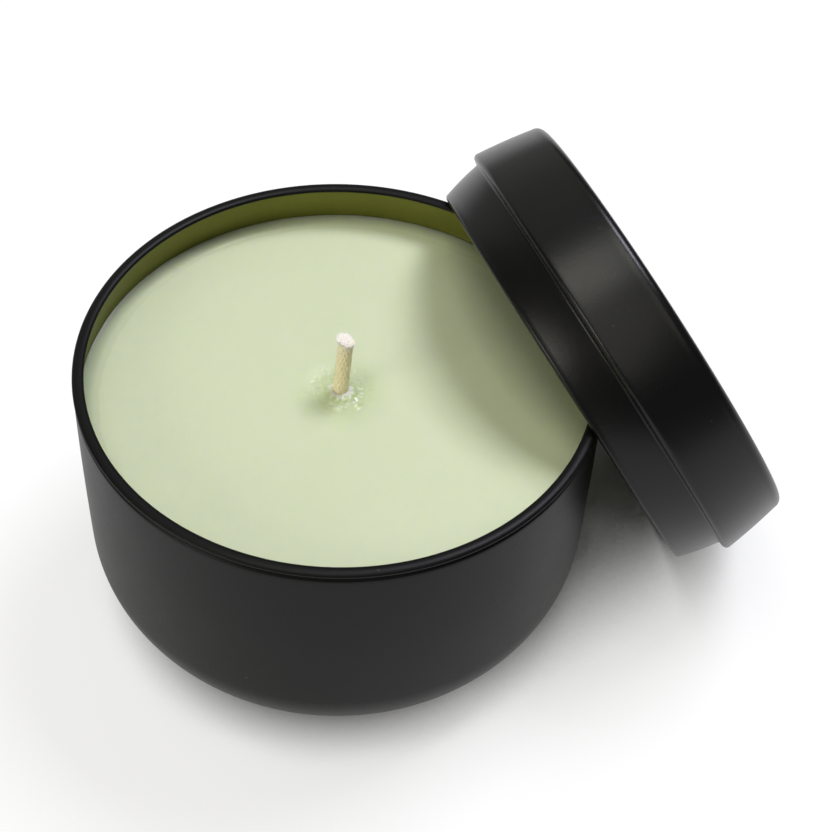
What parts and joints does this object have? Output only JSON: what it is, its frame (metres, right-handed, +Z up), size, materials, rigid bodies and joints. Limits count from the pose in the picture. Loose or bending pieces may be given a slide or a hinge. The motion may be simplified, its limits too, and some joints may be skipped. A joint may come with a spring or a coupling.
{
  "type": "candle tin",
  "caption": "Squat round drawn tin with rolled rim and rounded foot, filled with poured wax around a braided wick, its stepped push-in lid leaning on the rim.",
  "frame": {"origin": "centre of the tin's flat underside, on the surface that the tin stands on", "axes": "+Z up along the tin's axis; +X from the tin's axis towards the side on which the lid leans"},
  "size_m": [0.1134, 0.0808, 0.0724],
  "materials": {
    "tin_paint": "satin matt black paint outside and over the rim, olive-gold lacquer inside",
    "lid_paint": "satin matt black paint",
    "wax": "smooth poured wax, pale green, slightly translucent",
    "cotton": "waxed braided cotton",
    "core_paper": "twisted paper thread",
    "holder_steel": "bright stamped tinplate",
    "pad_foam": "double-sided adhesive foam"
  },
  "bodies": {
    "tin": {"tin_body": "tin_paint", "wax_fill": "wax", "wick_braid": "cotton", "wick_core": "core_paper", "wick_holder": "holder_steel", "adhesive_pad": "pad_foam"},
    "lid": {"lid": "lid_paint"}
  },
  "joints": [
    {"name": "lid_lift", "type": "slide", "parent": "tin", "child": "lid", "axis": [0.8846, 0, 0.4664], "range_m": [0, 0.08]}
  ]
}
